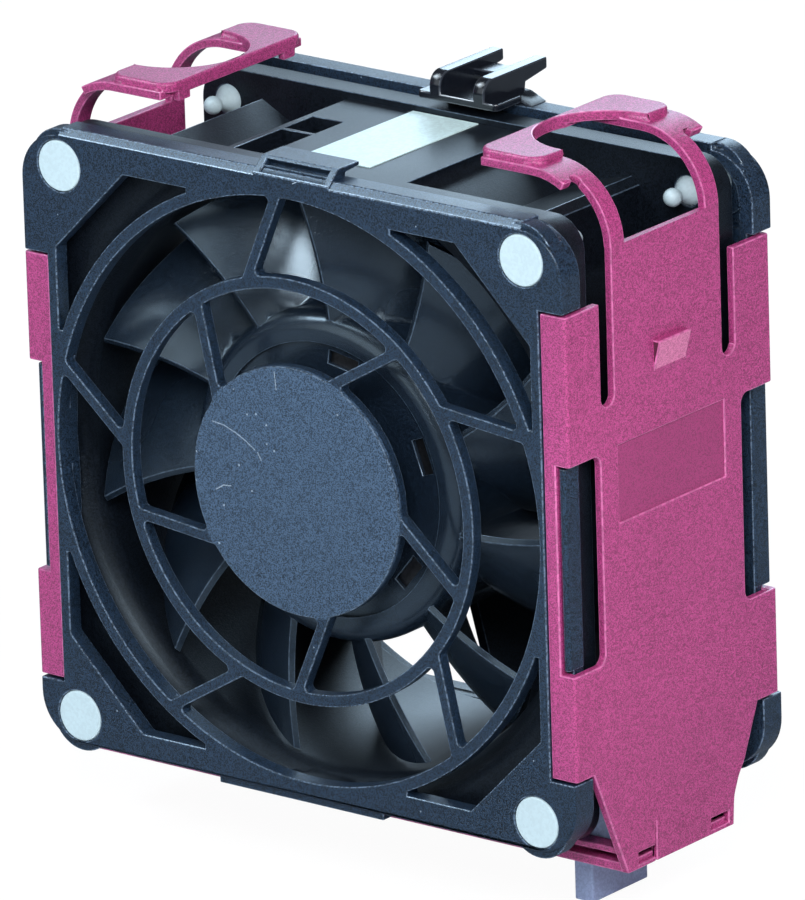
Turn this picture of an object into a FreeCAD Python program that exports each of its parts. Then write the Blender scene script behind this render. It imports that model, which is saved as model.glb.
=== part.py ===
"""Hot-plug server fan module: a square axial fan between two grilled frames, in a U-shaped carrier.

Axes: +X to the right seen from the front, +Y into the depth, +Z up. The origin is where the
fan's axis meets the front face. Lengths are in millimetres.
"""
import FreeCAD, Part
import math
import os

V = FreeCAD.Vector

# Fan body
fan_size = 92.0
fan_depth = 38.0
hole_spacing = 82.5
flange_thickness = 4.0
flange_corner_radius = 5.0
flange_hole_radius = 2.25
duct_radius = 43.6
duct_wall = 1.4
duct_top_flat = 45.0

# Front and rear frames
frame_inset = 0.3
frame_top = 45.8
frame_bottom = 45.5
frame_depth = 4.4
frame_plate = 2.6
frame_wall = 1.3
frame_corner_radius = 7.0
frame_edge_radius = 0.35
rail_rise = 1.0
rail_slope = 1.1
front_gap = 0.1
rear_gap = 1.7
step_from_x = -16.0
step_to_x = 13.6
step_drop = 1.0
grille_depth = 2.0
grille_outer_ring = 43.2
grille_inner_ring = 29.7
grille_ring_width = 1.8
grille_disc_radius = 18.4
grille_fillet = 0.7
strut_width = 1.6
strut_count = 5
strut_start = -14.5
strut_end = -2.5
inner_strut_start = -51.0
inner_strut_end = -34.0
rear_strut_run_on = 5.5
rear_opening_radius = 47.2
corner_window_side = 42.4
corner_window_top = 41.8
corner_window_chamfer = 71.4
corner_window_tip = 1.6
corner_window_round = 0.6
boss_wall = 1.6
boss_depth = 3.2
boss_set_back = 0.5

# Snap hook on the front frame's top rail
saddle_width = 13.6
saddle_centre_x = 0.8
saddle_start_z = 46.2
saddle_rise = 2.1
saddle_slope = 2.35
saddle_reach = 7.2
saddle_roof = 0.9
saddle_post = 3.5
saddle_rim = 1.2
saddle_pocket = 0.9

# Carrier
carrier_width = 97.0
carrier_wall = 1.2
carrier_set_back = 0.3
carrier_depth = 47.2
carrier_bottom = 50.9
carrier_edge_radius = 0.5
lip_width = 4.4
lip_thickness = 1.6
lip_clearance = 0.1
lip_shoulder = 5.0
right_lip_top = 34.0
right_lip_bottom = 34.2
left_lip_top = 27.4
left_lip_bottom = 36.1
window_depth = 7.3
window_top = 12.1
window_bottom = 18.6
window_corner_radius = 1.5
window_bite = 2.4
left_window_top = 11.2
left_window_bottom = 20.3
bar_inset = 0.5
bar_set_back = 0.8
bar_drop = 1.2
slot_width = 3.0
slot_bottom = 18.7
tongue_centre_y = 23.6
base_length = 24.7
base_plate = 1.4
base_deck = 0.9
base_height = 3.4
base_rib_pitch = 14.5
base_rib_width = 1.2
foot_steps = [(2.8, 8.8), (1.4, 6.8), (0.3, 4.2), (0.0, 0.0)]
foot_bend_radius = 4.0
socket_wall = 1.2
snap_window_width = 4.1
snap_window_height = 1.75
snap_window_spacing = 17.0
snap_window_shift = 0.65
snap_window_sill = 0.65
mark_panel_width = 24.6
mark_panel_top = 12.4
mark_panel_bottom = 1.1
mark_panel_sink = 0.25
slit_width = 0.25
slit_before_middle = 5.7
slit_height = 5.8

# Handles
tongue_width = 25.0
tongue_rise = 0.2
arm_width = 3.2
arm_thickness = 1.3
arm_bend_radius = 11.0
arm_bend_height = 41.2
arm_wide_turn = 59.0
grip_length = 31.6
grip_width = 10.9
grip_past_bend = 0.9
grip_step = 1.1
grip_ledge = 0.3
notch_radius = 0.8
grip_corner_radius = 2.6
grip_thickness = 1.5
grip_skirt = 0.5
grip_lobe = 1.5
grip_tab_width = 1.1
finger_cut_radius = 9.9
grip_centre_y = 23.9
wedge_width = 7.4
wedge_height = 4.6
wedge_rise = 1.1
wedge_above_slot = 2.2
hinge_gap = 0.3

# Isolators
isolator_head_radius = 3.8
isolator_head_height = 1.2
isolator_stem_radius = 2.2
isolator_collar_radius = 2.6
isolator_neck_radius = 0.9
isolator_bead_radius = 1.35
isolator_tail = 4.9
isolator_cone = 2.2

# Rotor and motor
blade_count = 11
blade_tip_radius = 42.6
blade_depth = 24.0
blade_thickness = 1.5
blade_tip_lead = 11.0
blade_phase = 3.0
hub_radius = 24.5
hub_wall = 1.6
hub_set_back = 2.3
hub_rim = 3.0
hub_face_sink = 0.8
hub_face_radius = 20.2
hub_length = 25.8
hub_centre_radius = 8.0
blade_set_back = 0.6
blade_wrap_root = 43.0
blade_wrap_tip = 33.0
blade_bow = 0.12
vent_count = 6
vent_width = 5.2
vent_height = 2.0
vent_radius = 18.0
vent_phase = 10.0
boss_radius = 4.6
boss_length = 3.6
yoke_wall = 1.3
magnet_thickness = 2.0
air_gap = 0.5
shaft_radius = 1.5
shaft_fit = 0.02
bearing_radius = 4.0
bearing_width = 3.0
ball_radius = 0.7
ball_count = 7
ball_clearance = 0.03
pole_count = 6
pole_width = 3.8
core_ring_radius = 9.4
pole_tip = 1.8
pole_gap = 2.6
stator_front_room = 7.2
stator_rear_room = 5.2
insulator_thickness = 0.8
coil_width = 7.2
coil_end = 1.6
board_room = 1.9
board_thickness = 1.2
vane_count = 7
vane_thickness = 1.6
vane_sweep = 4.5
vane_phase = 165.0
vane_set_back = 1.2
motor_base_thickness = 2.4

# Connector
plug_thickness = 3.3
plug_width = 12.8
plug_reach = 7.2
plug_wall = 0.6
plug_inset = 10.7
plug_y = 21.3
plug_body_height = 9.0
plug_fit = 0.05
contact_count = 4
contact_size = 0.64

# Guide clip on the rear frame
guide_width = 14.3
guide_centre_x = 0.65
guide_plate = 1.1
guide_lift = 0.5
guide_overhang = 6.0
guide_fin_height = 3.1
guide_fin_thickness = 2.0
guide_fin_spacing = 7.8
guide_flare = 1.7
guide_fin_length = 14.9
guide_fin_nose = 2.2

# Label
label_width = 11.7
label_length = 24.9
label_thickness = 0.15
label_left_x = -7.3
label_set_back = 4.9

# Duct details
flare_depth = 5.2
flare_square = 44.6
pad_left_x = -19.2
pad_right_x = 13.0
pocket_left_x = -18.0
pocket_width = 5.4
pocket_set_back = 2.3
pocket_length = 10.9
pocket_rib = 0.8
second_pocket_length = 6.4
pocket_depth = 2.3
bottom_pad_width = 36.0
deck_pad_width = 8.0
deck_pad_spacing = 24.0
web_ridge_x = 31.4
left_web_ridge_z = 44.1
right_web_ridge_z = 41.9
left_web_length = 25.6
web_slope = 1.5
web_inner_turn = 30.7
web_outer_turn = 45.5
web_tip = 1.2

# Places that follow from the sizes above
half_fan = fan_size / 2
half_hole = hole_spacing / 2
fan_front = frame_depth + front_gap
fan_rear = fan_front + fan_depth
module_depth = fan_rear + rear_gap + frame_depth
mid_y = module_depth / 2
rail_top = frame_top + rail_rise
carrier_face = carrier_width / 2
half_frame = carrier_face - frame_inset
carrier_inner = carrier_face - carrier_wall
carrier_front = carrier_set_back
carrier_rear = carrier_front + carrier_depth
carrier_mid = (carrier_front + carrier_rear) / 2
lip_inner = carrier_face - lip_width
rail_outer = carrier_inner - 0.2
tongue_front = tongue_centre_y - tongue_width / 2
tongue_rear = tongue_centre_y + tongue_width / 2
slot_centre_z = slot_bottom + slot_width / 2
root_z = slot_centre_z - hinge_gap
base_top = -carrier_bottom + base_height
base_front = carrier_mid - base_length / 2
base_rear = carrier_mid + base_length / 2
arm_centre_x = carrier_face - arm_bend_radius
arm_top = arm_bend_height + arm_bend_radius
tongue_top = arm_bend_height + tongue_rise
grip_top = arm_top + grip_step
grip_outer_x = arm_centre_x + grip_past_bend
grip_inner_x = grip_outer_x - grip_width
grip_front = grip_centre_y - grip_length / 2
grip_rear = grip_front + grip_length
hub_front = fan_front + hub_set_back
hub_rear = hub_front + hub_length
hub_inner = hub_radius - hub_wall
yoke_inner = hub_inner - yoke_wall
magnet_inner = yoke_inner - magnet_thickness
stator_radius = magnet_inner - air_gap
bearing_tube_radius = bearing_radius + 2.4
motor_base_front = hub_rear + 4.2
motor_base_rear = motor_base_front + motor_base_thickness
front_bearing_y = hub_front + 6.4
rear_bearing_y = motor_base_front - 4.2
stator_front = hub_front + stator_front_room
stator_rear = hub_rear - stator_rear_room
board_rear = motor_base_front - board_room
plug_x = carrier_face - plug_inset
flange_back = fan_front + flange_thickness
rear_flange_front = fan_rear - flange_thickness
ring_rim = grille_outer_ring + grille_ring_width
notch_x = lip_inner - lip_clearance
lip_back = carrier_front + lip_thickness
rear_frame_front = fan_rear + rear_gap
right_side = (right_lip_top, right_lip_bottom, window_top, window_bottom)
left_side = (left_lip_top, left_lip_bottom, left_window_top, left_window_bottom)


def rod(radius, y0, y1, x=0.0, z=0.0):
    """Round bar along the depth."""
    return Part.makeCylinder(radius, y1 - y0, V(x, y0, z), V(0, 1, 0))


def ring(outer, inner, y0, y1, x=0.0, z=0.0):
    """Round tube along the depth."""
    return rod(outer, y0, y1, x, z).cut(rod(inner, y0 - 1, y1 + 1, x, z))


def block(x0, x1, y0, y1, z0, z1):
    """Rectangular block between two corners."""
    return Part.makeBox(x1 - x0, y1 - y0, z1 - z0, V(x0, y0, z0))


def edges_along(body, axis):
    """Straight edges of a body that run along one axis."""
    found = []
    for edge in body.Edges:
        ends = edge.Vertexes
        if len(ends) == 2:
            step = ends[1].Point - ends[0].Point
            if abs(abs(step[axis]) - step.Length) < 1e-6:
                found.append(edge)
    return found


def corners_along_depth(body):
    """Corner edges along the depth, without the seams where a round face closes on itself."""
    found = []
    for edge in edges_along(body, 1):
        place = edge.CenterOfMass
        if min(abs(place.x), abs(place.z)) > 1e-3:
            found.append(edge)
    return found


def rounded_block(x0, x1, y0, y1, z0, z1, radius, axis=1):
    """Block whose edges along one axis are rounded."""
    body = block(x0, x1, y0, y1, z0, z1)
    return body.makeFillet(radius, edges_along(body, axis))


def front_outline(points, y0, y1):
    """Outline in the front view, given as (x, z), pushed through the depth."""
    wire = Part.makePolygon([V(x, y0, z) for x, z in points + points[:1]])
    return Part.Face(wire).extrude(V(0, y1 - y0, 0))


def side_outline(points, x0, x1):
    """Outline in the side view, given as (y, z), pushed across the width."""
    wire = Part.makePolygon([V(x0, y, z) for y, z in points + points[:1]])
    return Part.Face(wire).extrude(V(x1 - x0, 0, 0))


def turned(points, x=0.0, z=0.0):
    """Outline of radius against depth, turned about an axis along the depth."""
    wire = Part.makePolygon([V(radius, y, 0) for radius, y in points + points[:1]])
    body = Part.Face(wire).revolve(V(0, 0, 0), V(0, 1, 0), 360)
    body.translate(V(x, 0, z))
    return body


def fused(bodies):
    """One solid from several that touch."""
    return bodies[0].multiFuse(bodies[1:]).removeSplitter()


def turned_about_axis(body, degrees):
    """Copy turned clockwise about the fan's axis, seen from the front."""
    copy = body.copy()
    copy.rotate(V(0, 0, 0), V(0, 1, 0), degrees)
    return copy


def mirrored_x(body):
    """Copy on the other side of the module."""
    return body.mirror(V(0, 0, 0), V(1, 0, 0))


def mirrored_y(body):
    """Copy at the other end of the module's depth."""
    return body.mirror(V(0, mid_y, 0), V(0, 1, 0))


def hole_axes():
    """Places of the four corner holes in the front view."""
    return [(x, z) for x in (-half_hole, half_hole) for z in (-half_hole, half_hole)]


def clock_point(radius, degrees):
    """Point of the front view at a radius and a clockwise angle from the top."""
    turn = math.radians(degrees)
    return V(radius * math.sin(turn), 0, radius * math.cos(turn))


def grille_strut(r_inner, turn_inner, r_outer, turn_outer, run_on):
    """Straight bar of a grille between two radii, given by its clock angles in degrees."""
    start = clock_point(r_inner, turn_inner)
    end = clock_point(r_outer, turn_outer)
    along = (end - start).normalize()
    start, end = start - along * (strut_width / 2), end + along * run_on
    side = V(-along.z, 0, along.x) * (strut_width / 2)
    corners = [start + side, end + side, end - side, start - side]
    return front_outline([(p.x, p.z) for p in corners], 0, grille_depth)


def grille(with_outer_ring):
    """Rings and a centre disc, held by slanting struts with rounded joints."""
    inner_rim = grille_inner_ring + grille_ring_width
    pieces = [ring(inner_rim, grille_inner_ring, 0, grille_depth), rod(grille_disc_radius, 0, grille_depth)]
    run_on = rear_strut_run_on
    if with_outer_ring:
        pieces.append(ring(ring_rim, grille_outer_ring, 0, grille_depth))
        run_on = strut_width / 2
    for index in range(strut_count):
        turn = 360.0 / strut_count * index
        start, end = turn + strut_start, turn + strut_end
        pieces.append(grille_strut(inner_rim - 0.5, start, grille_outer_ring + 0.5, end, run_on))
        start, end = turn + inner_strut_start, turn + inner_strut_end
        pieces.append(grille_strut(grille_disc_radius - 0.5, start, grille_inner_ring + 0.5, end,
                                   strut_width / 2))
    body = fused(pieces)
    return body.makeFillet(grille_fillet, corners_along_depth(body))


def frame_openings(with_outer_ring):
    """What the air passes through: a round hole and corner windows, or one wide rounded opening."""
    hole = rod(grille_outer_ring, -1, frame_depth + 1)
    if not with_outer_ring:
        reach = frame_bottom - frame_wall
        wide = rod(rear_opening_radius, -1, frame_depth + 1)
        return [hole, wide.common(block(1 - notch_x, notch_x - 1, -2, frame_depth + 2, -reach, reach))]
    window = corner_window()
    other = mirrored_x(window)
    down = V(0, 0, 1)
    return [hole, window, other, window.mirror(V(), down), other.mirror(V(), down)]


def corner_window():
    """Opening between the outer ring and the top right corner of a frame."""
    side, top = corner_window_side, corner_window_top
    depth = frame_depth + 1
    body = front_outline([(0, 0), (side, 0), (side, corner_window_chamfer - side),
                          (corner_window_chamfer - top, top), (0, top)], -1, depth)
    low = math.sqrt(ring_rim ** 2 - side ** 2) + corner_window_tip
    near = math.sqrt(ring_rim ** 2 - top ** 2) + corner_window_tip
    body = body.cut([rod(ring_rim, -2, depth + 1), block(-1, near, -2, depth + 1, 0, 60),
                     block(0, 60, -2, depth + 1, -1, low)])
    outer = [edge for edge in edges_along(body, 1)
             if math.hypot(edge.CenterOfMass.x, edge.CenterOfMass.z) > ring_rim + 2]
    return body.makeFillet(corner_window_round, outer)


def lip_notch(lip_top, lip_bottom, depth):
    """What a frame loses at its right side for the carrier's lip and wall."""
    low, high = -lip_bottom - 0.4, lip_top + 0.4
    notch = block(notch_x, 60, -1, depth, low, high)
    return notch.fuse(block(rail_outer, 60, -1, frame_depth + 1, low, high))


def lip_backing(lip_top, lip_bottom, depth):
    """Thicker strip of a frame behind the carrier's right lip."""
    strip = block(notch_x - 1, rail_outer, boss_set_back, depth + frame_wall, -lip_bottom - 1, lip_top + 1)
    return strip.cut(rod(grille_outer_ring, -1, frame_depth + 1))


def side_bar(top, bottom, depth):
    """Bar of a frame that fills the carrier's side window, with a rounded outer edge."""
    low, high = -bottom + bar_inset, top - bar_inset
    outer = carrier_face - bar_drop
    bar = block(notch_x - 1, outer, depth, frame_depth, low, high)
    nose = block(carrier_face - window_bite + 0.3, outer, bar_set_back, frame_depth, low, high)
    bar = bar.cut(rod(grille_outer_ring, -1, frame_depth + 1)).fuse(nose).removeSplitter()
    corners = [edge for edge in edges_along(bar, 2) if edge.CenterOfMass.x > outer - 0.1]
    return bar.makeFillet(bar_inset, corners)


def snap_saddle():
    """Raised hook on the top rail: a slanted face with two long troughs, and a roof over the flange."""
    top = saddle_start_z + saddle_rise
    x0, x1 = saddle_centre_x - saddle_width / 2, saddle_centre_x + saddle_width / 2
    under = top - saddle_roof
    profile = [(0, frame_top - 0.5), (0, saddle_start_z), (saddle_slope, top), (saddle_reach, top),
               (saddle_reach - 0.1, top - saddle_roof * 0.7), (saddle_post + 0.6, under),
               (saddle_post, frame_top)]
    saddle = side_outline(profile, x0, x1)
    end = [edge for edge in edges_along(saddle, 0) if edge.CenterOfMass.y > saddle_reach - 0.2]
    saddle = saddle.makeFillet(saddle_roof * 0.3, end)
    troughs = []
    deep = saddle_pocket
    for near, far in ((0.14, 0.44), (0.54, 0.84)):
        y0, z0 = saddle_slope * near, saddle_start_z + saddle_rise * near
        y1, z1 = saddle_slope * far, saddle_start_z + saddle_rise * far
        corners = [(y0 - 1, z0 + 1), (y0 + deep, z0 - deep), (y1 + deep, z1 - deep), (y1 - 1, z1 + 1)]
        troughs.append(side_outline(corners, x0 + saddle_rim, x1 - saddle_rim))
    return saddle.cut(troughs)


def frame_shell(right, left, set_back, at_front):
    """Moulded frame with its grille, its front face on the plane of the origin."""
    depth = set_back + lip_thickness + lip_clearance
    shell = rounded_block(-half_frame, half_frame, 0, frame_depth, -frame_bottom, frame_top,
                          frame_corner_radius)
    rim = [edge for edge in shell.Edges if abs(edge.CenterOfMass.y) < 1e-6]
    shell = shell.makeFillet(frame_edge_radius, rim)
    inner_x = rail_outer - frame_wall
    hollow = rounded_block(-inner_x, inner_x, frame_plate, frame_depth + 1, -frame_bottom + frame_wall,
                           frame_top - frame_wall, frame_corner_radius - frame_wall)
    rail = side_outline([(0, frame_top - frame_wall), (0, frame_top), (rail_slope, rail_top),
                         (frame_depth, rail_top), (frame_depth, frame_top - frame_wall)],
                        -half_hole, half_hole)
    step = block(step_from_x, step_to_x, frame_edge_radius, frame_depth, -frame_bottom - step_drop,
                 -frame_bottom + frame_wall)
    outer = isolator_head_radius + boss_wall
    bosses = [rod(outer, boss_set_back, boss_depth, x, z) for x, z in hole_axes()]
    backing = [lip_backing(right[0], right[1], depth), mirrored_x(lip_backing(left[0], left[1], depth))]
    body = fused([shell.cut(hollow), rail, step] + bosses + backing)
    notches = [lip_notch(right[0], right[1], depth), mirrored_x(lip_notch(left[0], left[1], depth))]
    body = body.cut(notches + frame_openings(at_front))
    for x, z in hole_axes():
        body = body.cut(rod(isolator_head_radius + 0.05, -1, isolator_head_height + 0.1, x, z))
        body = body.cut(rod(isolator_stem_radius + 0.2, -1, frame_depth + 1, x, z))
    inside = block(-half_frame, half_frame, 0, grille_depth, 0.5 - frame_bottom, frame_top - 0.5)
    pieces = [body, grille(at_front).common(inside).cut(notches), side_bar(right[2], right[3], depth),
              mirrored_x(side_bar(left[2], left[3], depth))]
    if at_front:
        pieces.append(snap_saddle())
    return fused(pieces)


def front_frame():
    """Frame towards the viewer, with the snap hook on its top rail."""
    return frame_shell(right_side, left_side, carrier_front, True)


def rear_frame():
    """Moulding of the same outline turned about the vertical, with a wider opening and no hook."""
    body = frame_shell(left_side, right_side, module_depth - carrier_rear, False)
    body.rotate(V(0, mid_y, 0), V(0, 0, 1), 180)
    return body


def carrier_side(lip_top, lip_bottom, cut_top, cut_bottom):
    """Right wall of the carrier: lips, windows, slots, tapered foot and snap windows."""
    front, rear = carrier_front, carrier_rear
    foot = [(base_rear + out, up - carrier_bottom) for out, up in foot_steps]
    outline = [(front, lip_top), (rear, lip_top), (rear, -lip_bottom), (rear - lip_shoulder, -lip_bottom)]
    outline += foot
    outline += [(base_front, -carrier_bottom), (front + lip_shoulder - 1, -lip_bottom), (front, -lip_bottom)]
    wall = side_outline(outline, carrier_inner, carrier_face)
    bends = [edge for edge in edges_along(wall, 0) if edge.CenterOfMass.z < -lip_bottom - 1
             and base_rear + 0.1 < edge.CenterOfMass.y]
    wall = wall.makeFillet(foot_bend_radius, bends)
    for y0, y1 in ((front, lip_back), (rear - lip_thickness, rear)):
        wall = wall.fuse(block(lip_inner, carrier_face, y0, y1, -lip_bottom, lip_top))
    wall = wall.removeSplitter()
    creases = [edge for edge in edges_along(wall, 2) if edge.CenterOfMass.x > carrier_face - 0.01
               and min(abs(edge.CenterOfMass.y - front), abs(edge.CenterOfMass.y - rear)) < 0.01]
    wall = wall.makeFillet(carrier_edge_radius, creases)
    cuts = [block(lip_inner - 1, 60, tongue_front - slot_width, tongue_rear + slot_width, root_z, 60)]
    for y in (tongue_front - slot_width / 2, tongue_rear + slot_width / 2):
        cuts.append(Part.makeCylinder(slot_width / 2, 20, V(lip_inner - 1, y, slot_centre_z), V(1, 0, 0)))
    bite = carrier_face - window_bite
    for y0, y1 in ((front - 3, front + window_depth), (rear - window_depth, rear + 3)):
        cuts.append(rounded_block(bite, 60, y0, y1, -cut_bottom, cut_top, window_corner_radius, 0))
    cuts.append(block(carrier_face - mark_panel_sink, 60, carrier_mid - mark_panel_width / 2,
                      carrier_mid + mark_panel_width / 2, mark_panel_bottom, mark_panel_top))
    sill = snap_window_sill - carrier_bottom
    for side in (-1, 1):
        y = carrier_mid + snap_window_shift + side * snap_window_spacing / 2
        cuts.append(block(lip_inner, 60, y - snap_window_width / 2, y + snap_window_width / 2,
                          sill, sill + snap_window_height))
    slit = carrier_mid - slit_before_middle
    cuts.append(block(carrier_face - carrier_wall / 2, 60, slit - slit_width, slit,
                      -carrier_bottom - 1, slit_height - carrier_bottom))
    return wall.cut(cuts)


def carrier():
    """U-shaped moulding: two walls and a double-skinned base with ribs."""
    right = carrier_side(*right_side)
    left = mirrored_x(carrier_side(*left_side))
    y0, y1 = base_front, base_rear
    low = -carrier_bottom
    reach = carrier_inner + 0.5
    floor = block(-reach, reach, y0, y1, low, low + base_plate)
    deck = block(-reach, reach, y0, y1, base_top - base_deck, base_top)
    z0, z1 = low + base_deck / 2, base_top - base_deck / 2
    half_rib, half_pad = base_rib_width / 2, deck_pad_width / 2
    rib_places = [base_rib_pitch * step for step in (-2, -1, 0, 1, 2)]
    ribs = [block(x - half_rib, x + half_rib, y0 + 1.6, y1 - 1.6, z0, z1) for x in rib_places]
    pads = [block(x - half_pad, x + half_pad, y0 + 1, y1 - 1, z1, -duct_top_flat - 0.05)
            for x in (-deck_pad_spacing / 2, deck_pad_spacing / 2)]
    half_x, half_y = plug_thickness / 2 + socket_wall, plug_width / 2 + socket_wall
    socket = block(plug_x - half_x, plug_x + half_x, plug_y - half_y, plug_y + half_y, z0, z1)
    body = fused([right, left, floor, deck, socket] + ribs + pads)
    half_x, half_y = plug_thickness / 2 + plug_fit, plug_width / 2 + plug_fit
    return body.cut(block(plug_x - half_x, plug_x + half_x, plug_y - half_y, plug_y + half_y, low - 1,
                          base_top + 1))


def arc_band(radius, thickness, from_turn, to_turn, y0, y1):
    """Curved strip of a handle's arm about the bend's centre, angles up from the horizontal."""
    inner = radius - thickness

    def at(r, degrees):
        turn = math.radians(degrees)
        return V(arm_centre_x + r * math.cos(turn), y0, arm_bend_height + r * math.sin(turn))

    mid = (from_turn + to_turn) / 2
    outside = Part.Arc(at(radius, from_turn), at(radius, mid), at(radius, to_turn)).toShape()
    end = Part.makeLine(at(radius, to_turn), at(inner, to_turn))
    inside = Part.Arc(at(inner, to_turn), at(inner, mid), at(inner, from_turn)).toShape()
    start = Part.makeLine(at(inner, from_turn), at(radius, from_turn))
    return Part.Face(Part.Wire([outside, end, inside, start])).extrude(V(0, y1 - y0, 0))


def grip_plate():
    """Thin pad that the finger pulls, with its round cut and the edge that hangs from it."""
    low = grip_top - grip_thickness
    corner = grip_corner_radius
    plate = rounded_block(grip_inner_x, grip_outer_x, grip_front, grip_rear, low, grip_top, corner, 2)
    rim = [edge for edge in plate.Edges if abs(edge.CenterOfMass.z - grip_top) < 1e-6]
    plate = plate.makeFillet(grip_thickness / 3, rim)
    x0, x1 = grip_inner_x, grip_inner_x + grip_tab_width
    y0, y1 = grip_front + corner, grip_rear - corner
    skirt = block(x0, x1, y0, y1, low - grip_skirt, low + 0.5)
    lobes = [block(x0, x1, y, y + corner, low - grip_lobe, low + 0.5) for y in (y0, y1 - corner)]
    place = V(grip_outer_x - 0.5, grip_centre_y, low - 5)
    cut = Part.makeCylinder(finger_cut_radius, 10, place, V(0, 0, 1))
    return fused([plate, skirt] + lobes).cut(cut)


def handle_right():
    """Springy tongue with its latch wedge, two curved arms and the grip plate."""
    tongue = block(carrier_inner, carrier_face, tongue_front, tongue_rear, root_z + hinge_gap, tongue_top)
    pieces = [tongue, grip_plate()]
    ledge = grip_ledge
    rows = ((tongue_front, tongue_front + arm_width, grip_front - ledge, tongue_front + arm_width),
            (tongue_rear - arm_width, tongue_rear, tongue_rear - arm_width, grip_rear + ledge))
    for y0, y1, wide0, wide1 in rows:
        pieces.append(block(carrier_inner, carrier_face, y0, y1, tongue_top - 2, arm_bend_height))
        pieces.append(arc_band(arm_bend_radius, arm_thickness, 0, 90, y0, y1))
        pieces.append(arc_band(arm_bend_radius, arm_thickness, arm_wide_turn, 90, wide0, wide1))
        pieces.append(block(grip_inner_x + grip_tab_width, arm_centre_x + 0.1, wide0, wide1,
                            arm_top - arm_thickness, arm_top))
    body = fused(pieces)
    wedge_low = slot_bottom + wedge_above_slot
    deep, out = carrier_face - carrier_wall / 2, carrier_face + wedge_rise
    wedge_top = wedge_low + wedge_height
    wedge = front_outline([(deep, wedge_low), (carrier_face, wedge_low),
                           (out, wedge_top - wedge_height * 0.1), (out, wedge_top), (deep, wedge_top)],
                          grip_centre_y - wedge_width / 2, grip_centre_y + wedge_width / 2)
    body = body.fuse(wedge).removeSplitter()
    turn = math.radians(arm_wide_turn)
    out = V(math.cos(turn), 0, math.sin(turn))
    place = V(arm_centre_x, 0, arm_bend_height) + out * (arm_bend_radius / 2)
    notches = [Part.makeCylinder(notch_radius, arm_bend_radius, place + V(0, y, 0), out)
               for y in (tongue_front - notch_radius * 0.7, tongue_rear + notch_radius * 0.7)]
    return body.cut(notches)


def handle_left():
    """Mirror image of the right handle."""
    return mirrored_x(handle_right())


def isolator(x, z, gap):
    """Soft plug: flat head in the frame, washer against the flange, and a cone and bead behind it."""
    head, stem = isolator_head_radius, isolator_stem_radius
    collar, neck, high = isolator_collar_radius, isolator_neck_radius, isolator_head_height
    flange = frame_depth + gap
    back = flange + flange_thickness
    bead = back + isolator_tail - isolator_bead_radius
    seat = boss_depth + 0.05
    spine = turned([(0, 0), (head - 0.2, 0), (head, 0.2), (head, high), (stem, high), (stem, seat),
                    (collar, seat), (collar, flange - 0.02), (stem, flange - 0.02), (stem, back),
                    (neck, back + isolator_cone), (neck, bead), (0, bead)], x, z)
    return spine.fuse(Part.makeSphere(isolator_bead_radius, V(x, bead, z)))


def front_isolators():
    """The four plugs of the front frame."""
    return Part.makeCompound([isolator(x, z, front_gap) for x, z in hole_axes()])


def rear_isolators():
    """The four plugs of the rear frame."""
    return mirrored_y(Part.makeCompound([isolator(x, z, rear_gap) for x, z in hole_axes()]))


def corner_web(ridge_z, length):
    """Stiffening rib behind the front flange, with its ridge near the top right corner."""
    y0 = flange_back - 0.2
    near = clock_point(duct_radius + duct_wall / 2, web_inner_turn)
    far = clock_point(duct_radius + duct_wall / 2, web_outer_turn)
    outline = [(near.x, near.z), (near.x, near.z + web_slope), (web_ridge_x, ridge_z),
               (web_ridge_x + web_tip, ridge_z - web_tip), (far.x, far.z)]
    return front_outline(outline, y0, y0 + length + 0.2)


def top_pad():
    """Flat-topped pad on the duct that carries the label, with two pockets beside it."""
    pad = block(pad_left_x, pad_right_x, flange_back - 0.2, rear_flange_front + 0.2, duct_radius - 8,
                duct_top_flat)
    x1 = pocket_left_x + pocket_width
    y0 = flange_back + pocket_set_back
    y1 = y0 + pocket_length
    y2 = y1 + pocket_rib
    floor = duct_top_flat - pocket_depth
    return pad.cut([block(pocket_left_x, x1, y0, y1, floor, 60),
                    block(pocket_left_x, x1, y2, y2 + second_pocket_length, floor, 60)])


def bottom_pad():
    """Flat under the duct that rests on the carrier's base."""
    half = bottom_pad_width / 2
    return block(-half, half, flange_back - 0.2, rear_flange_front + 0.2, -duct_top_flat, 8 - duct_radius)


def bell_mouth():
    """What the duct's rounded mouth takes out of the front flange."""
    reach = duct_radius + flare_depth
    end = fan_front + flare_depth
    slant = flare_depth * math.sqrt(0.5)
    start, half = V(reach, fan_front, 0), flare_square
    curve = Part.Arc(start, V(reach - slant, end - slant, 0), V(duct_radius, end, 0)).toShape()
    rest = Part.makePolygon([V(duct_radius, end, 0), V(0, end, 0), V(0, fan_front - 1, 0),
                             V(reach, fan_front - 1, 0), start])
    body = Part.Face(Part.Wire([curve] + rest.Edges)).revolve(V(), V(0, 1, 0), 360)
    return body.common(block(-half, half, fan_front - 2, end + 1, -half, half))


def exit_vane(index):
    """Slanted strut from the motor base to the duct, behind the blades."""
    y0 = hub_rear + vane_set_back
    y1 = fan_rear - 1.0
    lean = vane_sweep / 2
    half = vane_thickness / 2
    low = hub_radius - 2
    wire = Part.makePolygon([V(lean - half, y0, low), V(lean + half, y0, low), V(half - lean, y1, low),
                             V(-half - lean, y1, low), V(lean - half, y0, low)])
    vane = Part.Face(wire).extrude(V(0, 0, duct_radius + 1 - low))
    return turned_about_axis(vane, 360.0 / vane_count * index + vane_phase)


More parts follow.
